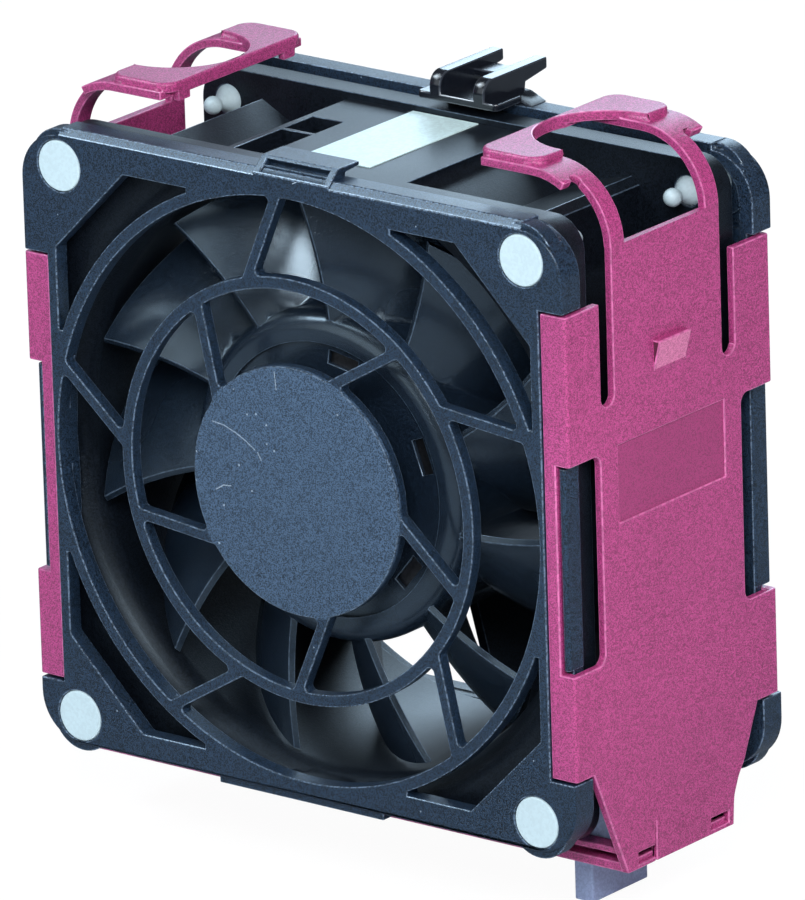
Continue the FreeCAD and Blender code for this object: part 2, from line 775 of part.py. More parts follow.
def motor_base():
    """Dish behind the rotor that carries the board, and the tube that holds the bearings."""
    outer, inner = hub_radius, hub_radius - 2.0
    seat, lip, tube_radius = bearing_radius, bearing_radius - 0.9, bearing_tube_radius
    front, rear = motor_base_front, motor_base_rear
    front_stop = front_bearing_y + bearing_width
    dish = turned([(seat, front), (inner, front), (inner, hub_rear + 1.0), (outer, hub_rear + 1.0),
                   (outer, rear - 1.2), (outer - 1.2, rear), (0, rear), (0, front + 1.0),
                   (seat, front + 1.0)])
    tube = turned([(seat, front_bearing_y), (tube_radius, front_bearing_y), (tube_radius, front + 0.5),
                   (seat, front + 0.5), (seat, rear_bearing_y), (lip, rear_bearing_y), (lip, front_stop),
                   (seat, front_stop)])
    return dish.fuse(tube)


def fan_housing():
    """Two square flanges joined by a round duct, with the vanes and motor base at the rear."""
    flanges = []
    for y0 in (fan_front, rear_flange_front):
        flanges.append(rounded_block(-half_fan, half_fan, y0, y0 + flange_thickness, -half_fan, half_fan,
                                     flange_corner_radius))
    duct = rod(duct_radius + duct_wall, fan_front + 1, fan_rear - 1)
    full = rear_flange_front - flange_back + 0.2
    right = corner_web(right_web_ridge_z, full)
    left = mirrored_x(corner_web(left_web_ridge_z, left_web_length))
    down = V(0, 0, 1)
    shell = fused(flanges + [duct, top_pad(), bottom_pad(), right, left, right.mirror(V(), down),
                             left.mirror(V(), down)])
    shell = shell.cut([rod(duct_radius, fan_front - 1, fan_rear + 1), bell_mouth()])
    for x, z in hole_axes():
        shell = shell.cut(rod(flange_hole_radius, fan_front - 1, fan_rear + 1, x, z))
    vanes = [exit_vane(index) for index in range(vane_count)]
    inner = motor_base().multiFuse(vanes)
    return fused([shell, inner.cut(ring(60, duct_radius + duct_wall / 2, fan_front - 2, fan_rear + 2))])


def blade_section(radius, lead, wrap):
    """Thin bowed outline of a blade at one radius, flat, square to the radius."""
    y0 = hub_front + blade_set_back
    y1 = y0 + blade_depth
    run = math.radians(wrap) * radius
    start = math.radians(lead) * radius
    half = blade_thickness / 2
    bow = blade_bow * blade_depth
    edge = blade_thickness * 0.3

    def at(x, y):
        return V(x, y, radius)

    front_low = at(start - edge, y0 + edge)
    front_high = at(start + edge, y0)
    rear_high = at(start + run + edge, y1)
    rear_low = at(start + run - edge, y1)
    centre_x = start + run / 2 + bow * 0.7
    centre_y = (y0 + y1) / 2 - bow * 0.7
    high = Part.Arc(front_high, at(centre_x + half * 0.7, centre_y - half * 0.7), rear_high).toShape()
    low = Part.Arc(rear_low, at(centre_x - half * 0.7, centre_y + half * 0.7), front_low).toShape()
    return Part.Wire([high, Part.makeLine(rear_high, rear_low), low, Part.makeLine(front_low, front_high)])


def blade():
    """One blade: three bowed sections joined by a smooth skin, trimmed to the hub and the tip circle."""
    root = hub_radius - 5.0
    middle = (hub_radius + blade_tip_radius) / 2
    tip = blade_tip_radius + 3.0
    sections = [blade_section(root, 0, blade_wrap_root),
                blade_section(middle, -blade_tip_lead / 2, (blade_wrap_root + blade_wrap_tip) / 2),
                blade_section(tip, -blade_tip_lead, blade_wrap_tip)]
    skin = Part.makeLoft(sections, True, False)
    return skin.common(ring(blade_tip_radius, hub_radius - hub_wall * 0.6, fan_front, fan_rear))


def impeller():
    """Hub cap with a rounded rim, a sunk face with vents, and its blades."""
    front, rear, inside = hub_front, hub_rear, hub_front + hub_wall
    cap = rod(hub_radius, front, rear)
    cap = cap.makeFillet(hub_rim, [edge for edge in cap.Edges if abs(edge.CenterOfMass.y - front) < 1e-6])
    cap = cap.cut([rod(hub_inner, inside, rear + 1),
                   ring(hub_face_radius, hub_centre_radius, front - 1, front + hub_face_sink)])
    body = fused([cap, ring(boss_radius, shaft_radius, inside - 0.1, inside + boss_length)])
    vent = block(-vent_width / 2, vent_width / 2, front - 1, inside + 0.1, vent_radius - vent_height / 2,
                 vent_radius + vent_height / 2)
    for index in range(vent_count):
        body = body.cut(turned_about_axis(vent, 360.0 / vent_count * index + vent_phase))
    one = blade()
    pitch = 360.0 / blade_count
    blades = [turned_about_axis(one, blade_phase + pitch * index) for index in range(blade_count)]
    return body.multiFuse(blades).removeSplitter()


def rotor_yoke():
    """Steel cup pressed into the hub, open at its centre for the hub's boss."""
    front = hub_front + hub_wall
    bore = boss_radius + 0.1
    end = hub_rear - 2.0
    return turned([(bore, front), (hub_inner, front), (hub_inner, end), (yoke_inner, end),
                   (yoke_inner, front + yoke_wall), (bore, front + yoke_wall)])


def rotor_magnet():
    """Ring magnet inside the steel cup."""
    return ring(yoke_inner, magnet_inner, hub_front + 5.0, hub_rear - 2.4)


def shaft():
    """Steel shaft from the hub's boss through both bearings, with a groove for its clip."""
    end = motor_base_front + 0.6
    body = rod(shaft_radius, hub_front + hub_wall, end)
    return body.cut(ring(shaft_radius + 1, shaft_radius - 0.3, rear_bearing_y + bearing_width + 0.15,
                         rear_bearing_y + bearing_width + 0.65))


def bearing_pieces(y):
    """Outer race, inner race and balls of one ball bearing that starts at a depth."""
    pitch_radius = (bearing_radius + shaft_radius) / 2
    groove_radius = ball_radius + ball_clearance
    groove = Part.makeTorus(pitch_radius, groove_radius, V(0, y + bearing_width / 2, 0), V(0, 1, 0))
    outer = ring(bearing_radius, pitch_radius + 0.45, y, y + bearing_width).cut(groove)
    inner = ring(pitch_radius - 0.45, shaft_radius, y, y + bearing_width).cut(groove)
    balls = []
    for index in range(ball_count):
        turn = 2 * math.pi * index / ball_count
        place = V(pitch_radius * math.cos(turn), y + bearing_width / 2, pitch_radius * math.sin(turn))
        balls.append(Part.makeSphere(ball_radius, place))
    return outer, inner, Part.makeCompound(balls)


def preload_washer():
    """Cone-shaped spring washer between the hub's boss and the front bearing."""
    front = hub_front + hub_wall + boss_length
    rear = front_bearing_y
    inner = shaft_radius + shaft_fit
    return turned([(inner, front), (inner + 0.8, rear - 0.3), (inner + 0.8, rear), (inner + 0.55, rear),
                   (inner, front + 0.3)])


def retaining_clip():
    """Open ring in the shaft's groove, behind the rear bearing."""
    y0 = rear_bearing_y + bearing_width + 0.2
    return ring(2.2, shaft_radius - 0.3, y0, y0 + 0.4).cut(block(0, 4, y0 - 1, y0 + 1, -0.8, 0.8))


def stator_core():
    """Stack of steel sheets with broad-tipped poles."""
    y0, y1 = stator_front, stator_rear
    half, tip = pole_width / 2, stator_radius - pole_tip
    pieces = [ring(core_ring_radius, bearing_tube_radius + 0.02, y0, y1)]
    for index in range(pole_count):
        pole = block(-half, half, y0, y1, core_ring_radius - 0.8, tip + 0.8)
        pieces.append(turned_about_axis(pole, 360.0 / pole_count * index))
    tips = ring(stator_radius, tip, y0, y1)
    gap = block(-pole_gap / 2, pole_gap / 2, y0 - 1, y1 + 1, tip - 2, stator_radius + 1)
    for index in range(pole_count):
        tips = tips.cut(turned_about_axis(gap, 360.0 / pole_count * (index + 0.5)))
    return fused(pieces + [tips])


def stator_insulator():
    """Plastic end plates on both faces of the core."""
    plates = [ring(core_ring_radius + 0.8, bearing_tube_radius + 0.02, y, y + insulator_thickness)
              for y in (stator_front - insulator_thickness, stator_rear)]
    return Part.makeCompound(plates)


def stator_coils():
    """One winding round each pole."""
    y0, y1 = stator_front, stator_rear
    low, high = core_ring_radius + 1.1, stator_radius - pole_tip - 0.4
    half, half_pole = coil_width / 2, pole_width / 2 + 0.05
    coil = rounded_block(-half, half, y0 - coil_end, y1 + coil_end, low, high, coil_end * 0.7, 2)
    coil = coil.cut(block(-half_pole, half_pole, y0 - 0.05, y1 + 0.05, low - 1, high + 1))
    pitch = 360.0 / pole_count
    return Part.makeCompound([turned_about_axis(coil, pitch * index) for index in range(pole_count)])


def circuit_board():
    """Round driver board in the motor base."""
    return ring(hub_radius - 3.4, bearing_tube_radius + 0.02, board_rear - board_thickness, board_rear)


def board_parts():
    """Driver chip, sensor and capacitors between the board and the motor base."""
    y0 = board_rear
    high = board_room - 0.3
    room = hub_radius - 3.4
    solids = [block(room * 0.4, room * 0.6, y0, y0 + high * 0.9, -3, 3)]
    solids.append(block(-room * 0.66, -room * 0.52, y0, y0 + high * 0.7, -2, 2))
    solids.append(block(-3, 3, y0, y0 + high, room * 0.5, room * 0.62))
    for x in (-6, 6):
        solids.append(rod(1.6, y0, y0 + high, x, -room * 0.6))
    return Part.makeCompound(solids)


def connector_housing():
    """Pale plug blade below the base, with its body in the corner above the base."""
    x0, x1 = plug_x - plug_thickness / 2, plug_x + plug_thickness / 2
    y0, y1 = plug_y - plug_width / 2, plug_y + plug_width / 2
    low = -carrier_bottom - plug_reach
    wall = plug_wall
    blade_body = rounded_block(x0, x1, y0, y1, low, base_top, 0.3, 2)
    body = block(x0 - 2.4, x1 + 4.0, y0 - 0.9, y1 + 0.9, base_top, base_top + plug_body_height)
    pocket = block(x0 + wall, x1 - wall, y0 + wall, y1 - wall, low - 1, base_top - 1)
    return blade_body.fuse(body).removeSplitter().cut(pocket)


def connector_contacts():
    """Square pins inside the plug blade."""
    pitch = (plug_width - 2 * plug_wall) / contact_count
    half = contact_size / 2
    low = -carrier_bottom - plug_reach + 1.2
    solids = []
    for index in range(contact_count):
        y = plug_y + (index - (contact_count - 1) / 2) * pitch
        solids.append(block(plug_x - half, plug_x + half, y - half, y + half, low, base_top - 1))
    return Part.makeCompound(solids)


def rating_label():
    """Bare label on the duct's flat top."""
    y0 = flange_back + label_set_back
    return block(label_left_x, label_left_x + label_width, y0, y0 + label_length, duct_top_flat,
                 duct_top_flat + label_thickness)


def guide_clip():
    """Two guide fins on a plate and a flared foot, on the rear frame's top rail."""
    x0 = guide_centre_x - guide_width / 2
    x1 = guide_centre_x + guide_width / 2
    low = rail_top + guide_lift
    top = low + guide_plate
    start = rear_frame_front - guide_overhang
    foot = front_outline([(x0 + 0.4, rail_top), (x1 + guide_flare, rail_top), (x1 - 1.2, top - 0.3),
                          (x0 + 1.8, top - 0.3)], rear_frame_front, module_depth - 0.6)
    plate = rounded_block(x0, x1, start, rear_frame_front + 0.3, low, top, 0.8, 2)
    fin_top = top + guide_fin_height
    end = start + guide_fin_length
    back = rear_frame_front + frame_depth - 0.5
    pieces = [foot, plate]
    for side in (-1, 1):
        x = guide_centre_x + side * guide_fin_spacing / 2
        fin = side_outline([(start, top - 0.3), (start, fin_top), (end, fin_top), (end, fin_top - 1.7),
                            (back, fin_top - 2.5), (back - 0.2, top - 0.5)],
                           x - guide_fin_thickness / 2, x + guide_fin_thickness / 2)
        nose = [edge for edge in edges_along(fin, 0) if edge.CenterOfMass.z > fin_top - 0.01
                and edge.CenterOfMass.y < start + 0.01]
        pieces.append(fin.makeFillet(guide_fin_nose, nose))
    half_gap = guide_fin_spacing / 2
    pieces.append(block(guide_centre_x - half_gap, guide_centre_x + half_gap, back - 2, back + 2,
                        fin_top - 2.4, fin_top - 1.2))
    return fused(pieces)


def all_pieces():
    """Every piece under its node's name."""
    front_outer, front_inner, front_balls = bearing_pieces(front_bearing_y)
    rear_outer, rear_inner, rear_balls = bearing_pieces(rear_bearing_y)
    return {
        "front_frame": front_frame(),
        "rear_frame": rear_frame(),
        "carrier": carrier(),
        "handle_right": handle_right(),
        "handle_left": handle_left(),
        "front_isolators": front_isolators(),
        "rear_isolators": rear_isolators(),
        "fan_housing": fan_housing(),
        "impeller": impeller(),
        "rotor_yoke": rotor_yoke(),
        "rotor_magnet": rotor_magnet(),
        "shaft": shaft(),
        "front_bearing_outer_race": front_outer,
        "front_bearing_inner_race": front_inner,
        "front_bearing_balls": front_balls,
        "rear_bearing_outer_race": rear_outer,
        "rear_bearing_inner_race": rear_inner,
        "rear_bearing_balls": rear_balls,
        "preload_washer": preload_washer(),
        "retaining_clip": retaining_clip(),
        "stator_core": stator_core(),
        "stator_insulator": stator_insulator(),
        "stator_coils": stator_coils(),
        "circuit_board": circuit_board(),
        "board_parts": board_parts(),
        "connector_housing": connector_housing(),
        "connector_contacts": connector_contacts(),
        "rating_label": rating_label(),
        "guide_clip": guide_clip(),
    }


os.makedirs("parts", exist_ok=True)
for name, shape in all_pieces().items():
    shape.exportStep("parts/" + name + ".step")
    box = shape.BoundBox
    print(name, len(shape.Solids), "solids", shape.isValid(), "volume %.0f" % shape.Volume,
          "x %.1f %.1f y %.1f %.1f" % (box.XMin, box.XMax, box.YMin, box.YMax),
          "z %.1f %.1f" % (box.ZMin, box.ZMax))
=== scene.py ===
import bpy
import bmesh
import math
from mathutils import Matrix, Vector


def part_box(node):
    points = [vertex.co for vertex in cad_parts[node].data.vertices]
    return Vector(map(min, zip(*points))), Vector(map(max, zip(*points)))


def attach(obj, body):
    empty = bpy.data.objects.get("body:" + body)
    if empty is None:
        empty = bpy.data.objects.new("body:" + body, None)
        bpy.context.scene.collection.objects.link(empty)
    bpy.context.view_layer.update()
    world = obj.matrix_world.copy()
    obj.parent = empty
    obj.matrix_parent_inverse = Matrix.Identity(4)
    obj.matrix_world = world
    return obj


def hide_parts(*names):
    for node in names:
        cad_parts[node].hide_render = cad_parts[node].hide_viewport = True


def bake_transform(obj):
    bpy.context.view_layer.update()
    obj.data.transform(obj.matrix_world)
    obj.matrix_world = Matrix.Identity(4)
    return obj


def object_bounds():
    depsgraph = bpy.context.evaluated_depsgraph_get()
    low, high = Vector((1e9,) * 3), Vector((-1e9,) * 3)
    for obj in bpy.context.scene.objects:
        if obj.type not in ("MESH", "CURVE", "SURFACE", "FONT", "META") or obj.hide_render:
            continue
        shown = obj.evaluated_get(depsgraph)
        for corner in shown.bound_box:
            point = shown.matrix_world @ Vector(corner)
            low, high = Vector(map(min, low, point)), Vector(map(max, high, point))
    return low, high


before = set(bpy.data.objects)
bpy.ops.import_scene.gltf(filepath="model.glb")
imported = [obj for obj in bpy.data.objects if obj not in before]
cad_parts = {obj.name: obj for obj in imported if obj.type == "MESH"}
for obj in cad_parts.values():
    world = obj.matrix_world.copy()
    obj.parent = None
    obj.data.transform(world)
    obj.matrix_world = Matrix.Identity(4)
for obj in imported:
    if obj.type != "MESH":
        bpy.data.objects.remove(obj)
cad_low, cad_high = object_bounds()

# Camera
# A long lens two metres away, a little above the fan and to its right, level but for a slight lean.
# The module fills the picture and is seen from its front right corner.
camera_azimuth = math.radians(38.58)
camera_elevation = math.radians(18.22)
camera_lean = math.radians(-1.78)
camera_distance = 2.0
camera_target = Vector((0.0194, 0.0, 0.0098))
camera_lens = 572.5
camera_sensor = 36
camera_far_end = 20

back = Vector((math.sin(camera_azimuth) * math.cos(camera_elevation),
               -math.cos(camera_azimuth) * math.cos(camera_elevation), math.sin(camera_elevation)))
level = Vector((math.cos(camera_azimuth), math.sin(camera_azimuth), 0))
upright = back.cross(level)
right = level * math.cos(camera_lean) + upright * math.sin(camera_lean)
up = upright * math.cos(camera_lean) - level * math.sin(camera_lean)
camera_data = bpy.data.cameras.new("camera")
camera_data.lens = camera_lens
camera_data.sensor_width = camera_sensor
camera_data.clip_end = camera_far_end
camera = bpy.data.objects.new("camera", camera_data)
camera.matrix_world = Matrix((right, up, back)).transposed().to_4x4()
camera.location = camera_target + camera_distance * back
bpy.context.collection.objects.link(camera)
bpy.context.scene.camera = camera


# Floor and light
# A white sweep just under the plug blade, which the camera sees as plain white with a faint shadow. Soft
# boxes stand in front, at the left, above on the left, low behind and high at the right. A wide one above
# on the left gives gleams alone, as a white ceiling panel does on satin plastic.
def new_material(name):
    """Node material with its Principled shader, ready for wiring."""
    material = bpy.data.materials.new(name)
    material.use_nodes = True
    nodes = material.node_tree.nodes
    return material, nodes, material.node_tree.links, nodes["Principled BSDF"]


floor_half = 1.6
floor_gap = 0.0005
floor_rough = 0.9
floor_colour = (0.86, 0.87, 0.88, 1)
floor_in_gloss = (0.34, 0.37, 0.40, 1)
white = (1, 1, 1, 1)
floor_glow = 1.04
glow_share = 0.92
floor_z = cad_low.z - floor_gap
floor_mesh = bpy.data.meshes.new("studio_floor")
floor_mesh.from_pydata([(-floor_half, -floor_half, floor_z), (floor_half, -floor_half, floor_z),
                        (floor_half, floor_half, floor_z), (-floor_half, floor_half, floor_z)], [], [(0, 1, 2, 3)])
floor = bpy.data.objects.new("studio_floor", floor_mesh)
bpy.context.collection.objects.link(floor)
floor_paint, nodes, links, shader = new_material("studio_floor_paint")
shader.inputs["Roughness"].default_value = floor_rough
shader.inputs["Specular IOR Level"].default_value = 0
glow = nodes.new("ShaderNodeEmission")
glow.inputs["Color"].default_value = white
glow.inputs["Strength"].default_value = floor_glow
path = nodes.new("ShaderNodeLightPath")
seen = nodes.new("ShaderNodeMix")
seen.data_type = "RGBA"
seen.inputs["A"].default_value = floor_colour
seen.inputs["B"].default_value = floor_in_gloss
links.new(path.outputs["Is Glossy Ray"], seen.inputs["Factor"])
links.new(seen.outputs["Result"], shader.inputs["Base Color"])
share = nodes.new("ShaderNodeMath")
share.operation = "MULTIPLY"
share.inputs[1].default_value = glow_share
blend = nodes.new("ShaderNodeMixShader")
links.new(path.outputs["Is Camera Ray"], share.inputs[0])
links.new(share.outputs["Value"], blend.inputs["Fac"])
links.new(shader.outputs["BSDF"], blend.inputs[1])
links.new(glow.outputs["Emission"], blend.inputs[2])
links.new(blend.outputs["Shader"], nodes["Material Output"].inputs["Surface"])
floor_mesh.materials.append(floor_paint)

air_light = 0.12
air_seen = 1.0
world = bpy.data.worlds.new("studio_air")
world.use_nodes = True
bpy.context.scene.world = world
nodes, links = world.node_tree.nodes, world.node_tree.links
air = nodes["Background"]
path = nodes.new("ShaderNodeLightPath")
mix = nodes.new("ShaderNodeMix")
mix.data_type = "FLOAT"
mix.inputs["A"].default_value = air_light
mix.inputs["B"].default_value = air_seen
links.new(path.outputs["Is Camera Ray"], mix.inputs["Factor"])
links.new(mix.outputs["Result"], air.inputs["Strength"])
air.inputs["Color"].default_value = white

lamp_target = Vector((0, 0.02, 0))


def soft_box(name, place, size, power, colour):
    """Square area lamp that looks at the module."""
    lamp = bpy.data.lights.new(name, "AREA")
    lamp.size = size
    lamp.energy = power
    lamp.color = colour
    holder = bpy.data.objects.new(name, lamp)
    holder.location = place
    holder.rotation_euler = (lamp_target - Vector(place)).to_track_quat("-Z", "Y").to_euler()
    bpy.context.collection.objects.link(holder)
    return holder


soft_box("key_box", (0.34, -0.46, 0.42), 0.25, 4.1, (0.93, 0.97, 1.0))
soft_box("left_box", (-0.42, -1.00, 0.40), 0.75, 2.7, (0.84, 0.94, 1.0))
soft_box("top_box", (-0.50, -0.25, 0.62), 0.22, 2.1, (0.74, 0.88, 1.0))
soft_box("rear_box", (-0.36, 0.80, 0.40), 0.45, 4.6, (0.62, 0.82, 1.0))
soft_box("right_box", (0.60, -0.15, 0.45), 0.40, 3.1, (1.0, 0.98, 1.0))
gleam_box = soft_box("gleam_box", (-0.50, -0.30, 0.72), 0.50, 6.0, (0.80, 0.92, 1.0))
gleam_box.visible_diffuse = False


# Front and rear frame
# Each is one black nylon moulding with a grille, snapped over the fan's flange. The mould leaves a fine
# satin grain, and handling has left dust, hairline scratches and pale nicks on the front one. The dust on
# its centre disc also carries a painted sheen, paler towards the top.
def math_node(nodes, links, operation, first, second=0.0, third=0.0):
    """Output of one math node fed by sockets or plain numbers."""
    node = nodes.new("ShaderNodeMath")
    node.operation = operation
    for index, value in enumerate((first, second, third)):
        if isinstance(value, (int, float)):
            node.inputs[index].default_value = value
        else:
            links.new(value, node.inputs[index])
    return node.outputs["Value"]


def both(nodes, links, first, second):
    """Product of two values, which is 1 only where both are 1."""
    return math_node(nodes, links, "MULTIPLY", first, second)


def parted(nodes, links, vector):
    """Outputs X, Y and Z of a vector."""
    node = nodes.new("ShaderNodeSeparateXYZ")
    links.new(vector, node.inputs["Vector"])
    return node.outputs


def noise(nodes, links, place, size, detail):
    """Noise value in object space, with features of about one size in metres."""
    node = nodes.new("ShaderNodeTexNoise")
    node.inputs["Scale"].default_value = 1 / size
    node.inputs["Detail"].default_value = detail
    links.new(place, node.inputs["Vector"])
    return node.outputs["Fac"]


def cells(nodes, links, place, size):
    """Cells of about one size in metres: the distance from each one's middle, and its own random colour."""
    node = nodes.new("ShaderNodeTexVoronoi")
    node.inputs["Scale"].default_value = 1 / size
    links.new(place, node.inputs["Vector"])
    shade = nodes.new("ShaderNodeSeparateColor")
    links.new(node.outputs["Color"], shade.inputs["Color"])
    return node.outputs["Distance"], shade.outputs


def spread(nodes, links, value, low, high):
    """Value between 0 and 1 stretched so that its middle half covers two limits."""
    node = nodes.new("ShaderNodeMapRange")
    node.inputs["From Min"].default_value = 0.25
    node.inputs["From Max"].default_value = 0.75
    node.inputs["To Min"].default_value = low
    node.inputs["To Max"].default_value = high
    links.new(value, node.inputs["Value"])
    return node.outputs["Result"]


def vector_node(nodes, links, operation, socket, fixed=None):
    """Vector math node with its first input wired and, if given, its second one fixed."""
    node = nodes.new("ShaderNodeVectorMath")
    node.operation = operation
    links.new(socket, node.inputs[0])
    if fixed is not None:
        node.inputs[1].default_value = fixed
    return node


def scaled(nodes, links, vector, factor):
    """Vector or colour that is a plain one times a changing factor."""
    node = nodes.new("ShaderNodeVectorMath")
    node.operation = "SCALE"
    node.inputs[0].default_value = vector
    links.new(factor, node.inputs["Scale"])
    return node.outputs["Vector"]


def near_strokes(nodes, links, place, strokes, reach):
    """1 within a reach of any stroke on the front face, given as lists of (x, z) in millimetres."""
    shortest = 1e-12
    found = 0.0
    for stroke in strokes:
        for (x0, z0), (x1, z1) in zip(stroke, stroke[1:] or stroke):
            start = Vector((x0, 0, z0)) / 1000
            along = Vector((x1 - x0, 0, z1 - z0)) / 1000
            from_start = vector_node(nodes, links, "SUBTRACT", place, start).outputs["Vector"]
            down = vector_node(nodes, links, "DOT_PRODUCT", from_start, along / max(along.length_squared, shortest))
            share = nodes.new("ShaderNodeClamp")
            links.new(down.outputs["Value"], share.inputs["Value"])
            apart = vector_node(nodes, links, "DISTANCE", from_start)
            links.new(scaled(nodes, links, along, share.outputs["Result"]), apart.inputs[1])
            hit = math_node(nodes, links, "LESS_THAN", apart.outputs["Value"], reach)
            found = math_node(nodes, links, "MAXIMUM", hit, found)
    return found


def layered(nodes, links, under, over, amount):
    """Colour socket with a plain colour laid over another by an amount."""
    layer = nodes.new("ShaderNodeMix")
    layer.data_type = "RGBA"
    layer.inputs["B"].default_value = (*over, 1)
    links.new(amount, layer.inputs["Factor"])
    links.new(under, layer.inputs["A"])
    return layer.outputs["Result"]


grain_relief = 0.4
drift_size = 0.03
drift_detail = 1
drift_tone = 0.07
drift_rough = 0.05


def moulded(name, colour, grain_size, grain_depth, speckle, rough, gloss=0.5, sheen=(1, 1, 1), wear_and_painted_light=None):
    """Moulded plastic: a fine grain in bump and tone, a slow drift in tone and gloss, its own wear and painted light.
    """
    material, nodes, links, shader = new_material(name)
    place = nodes.new("ShaderNodeTexCoord").outputs["Object"]
    fine = cells(nodes, links, place, grain_size)[1]["Green"]
    slow = noise(nodes, links, place, drift_size, drift_detail)
    bump = nodes.new("ShaderNodeBump")
    bump.inputs["Strength"].default_value = grain_depth
    bump.inputs["Distance"].default_value = grain_size * grain_relief
    links.new(fine, bump.inputs["Height"])
    links.new(bump.outputs["Normal"], shader.inputs["Normal"])
    tone = both(nodes, links, spread(nodes, links, fine, 1 - speckle, 1 + speckle),
                spread(nodes, links, slow, 1 - drift_tone, 1 + drift_tone))
    paint = scaled(nodes, links, colour, tone)
    if wear_and_painted_light:
        paint = wear_and_painted_light(nodes, links, place, paint, fine)
    links.new(paint, shader.inputs["Base Color"])
    links.new(spread(nodes, links, slow, rough - drift_rough, rough + drift_rough), shader.inputs["Roughness"])
    shader.inputs["Specular IOR Level"].default_value = gloss
    shader.inputs["Specular Tint"].default_value = (*sheen, 1)
    return material


same_spot = 2e-6
flat_angle = math.radians(0.6)
sharp_angle = math.radians(32)
edge_steps = 2


def loose_shape(*nodes):
    """Editable copy of some nodes' meshes, with the flat faces made whole again."""
    shape = bmesh.new()
    for node in nodes:
        shape.from_mesh(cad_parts[node].data)
    bmesh.ops.remove_doubles(shape, verts=shape.verts, dist=same_spot)
    bmesh.ops.dissolve_limit(shape, angle_limit=flat_angle, verts=shape.verts, edges=shape.edges)
    return shape


def new_piece(name, shape, *materials):
    """Scene object made from an editable shape, which is used up."""
    mesh = bpy.data.meshes.new(name)
    shape.to_mesh(mesh)
    shape.free()
    for material in materials:
        mesh.materials.append(material)
    piece = bpy.data.objects.new(name, mesh)
    bpy.context.collection.objects.link(piece)
    return piece


def finish_with(piece, kind, settings):
    """Applies one modifier to a piece."""
    modifier = piece.modifiers.new(kind.lower(), kind)
    for key, value in settings.items():
        setattr(modifier, key, value)
    done = bpy.data.meshes.new_from_object(piece.evaluated_get(bpy.context.evaluated_depsgraph_get()))
    piece.modifiers.clear()
    piece.data = done
    done.name = piece.name


def settle_normals(piece):
    """Keeps the flat faces flat and the curved ones smooth."""
    piece.data.set_sharp_from_angle(angle=sharp_angle)
    finish_with(piece, "WEIGHTED_NORMAL", {"keep_sharp": True})


def rounded(name, shape, width, skin, edge_skin):
    """Piece with broken outer edges whose narrow faces take a second finish, a painted highlight where paler."""
    weight = shape.edges.layers.float.new("bevel_weight_edge")
    for edge in shape.edges:
        if edge.is_manifold and edge.is_convex and edge.calc_face_angle(0) > sharp_angle:
            edge[weight] = 1
    for face in shape.faces:
        face.smooth = True
        face.material_index = 0
    corners = [Vector(pick(vert.co[axis] for vert in shape.verts) for axis in range(3)) for pick in (min, max)]
    piece = new_piece(name, shape, skin, edge_skin)
    finish_with(piece, "BEVEL", {"width": width, "segments": edge_steps, "limit_method": "WEIGHT",
                                 "use_clamp_overlap": False, "material": 1})
    for vert in piece.data.vertices:
        vert.co = [min(max(value, low), high) for value, low, high in zip(vert.co, *corners)]
    settle_normals(piece)
    return piece


def fit_out(piece, body, node):
    """Lets a piece ride on its body and stand for its node."""
    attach(piece, body)
    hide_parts(node)


disc_radius = 0.0186
disc_depth = 0.0006
# The pale layer on the centre disc is dust with a painted sheen, and it grows paler towards the top.
dust_and_sheen_colour = (0.066, 0.114, 0.190)
dust_and_sheen_base = 0.92
dust_and_sheen_rise_per_metre_up = 8.0
speck_spacing = 0.0026
speck_rarity = 0.78
speck_radius = 0.05
speck_colour = (0.20, 0.26, 0.33)
scratch_reach = 0.00008
chip_reach = 0.00016
rubbed_colour = (0.32, 0.39, 0.47)
scratches = [[(-14.8, 8.0), (-12.7, 7.75), (-10.5, 6.95), (-8.6, 5.95), (-7.2, 5.0)], [(-6.7, 4.7), (-6.15, 3.7)],
             [(-14.5, -2.1), (-13.1, -1.25), (-11.8, -1.15)], [(-3.25, 17.3), (-3.1, 16.0), (-3.0, 14.7)],
             [(-15.9, 45.7), (-15.2, 46.1)], [(1.2, 45.7), (2.0, 46.1)]]
chips = [(-8.4, 10.1), (-6.8, 10.4), (7.9, 12.9), (-8.0, -1.2), (-13.2, -4.25), (-14.3, -10.1), (-8.1, -16.9),
         (-17.9, 2.9), (-18.1, -1.4), (-5.0, 9.1), (-5.0, 6.3), (-3.7, 5.5), (-10.2, 2.25)]


def frame_wear_and_sheen(nodes, links, place, paint, fine):
    """Dust and painted sheen on the centre disc, paler at the top; stray specks, hairline scratches, rubbed nicks."""
    axis = parted(nodes, links, place)
    across = math_node(nodes, links, "POWER", axis["X"], 2.0)
    upward = math_node(nodes, links, "POWER", axis["Z"], 2.0)
    radius = math_node(nodes, links, "SQRT", math_node(nodes, links, "ADD", across, upward))
    on_disc = both(nodes, links, math_node(nodes, links, "LESS_THAN", radius, disc_radius),
                   math_node(nodes, links, "LESS_THAN", axis["Y"], disc_depth))
    dust_and_sheen = both(nodes, links, on_disc, spread(nodes, links, fine, 0.2, 1.0))
    dust_and_sheen = both(nodes, links, dust_and_sheen, math_node(nodes, links, "MULTIPLY_ADD", axis["Z"], dust_and_sheen_rise_per_metre_up, dust_and_sheen_base))
    paint = layered(nodes, links, paint, dust_and_sheen_colour, dust_and_sheen)
    from_middle, shade = cells(nodes, links, place, speck_spacing)
    speck = both(nodes, links, math_node(nodes, links, "GREATER_THAN", shade["Red"], speck_rarity),
                 math_node(nodes, links, "LESS_THAN", from_middle, speck_radius))
    paint = layered(nodes, links, paint, speck_colour, speck)
    marks = math_node(nodes, links, "MAXIMUM", near_strokes(nodes, links, place, scratches, scratch_reach),
                      near_strokes(nodes, links, place, [[point] for point in chips], chip_reach))
    return layered(nodes, links, paint, rubbed_colour, both(nodes, links, marks, spread(nodes, links, fine, 0.5, 1.0)))


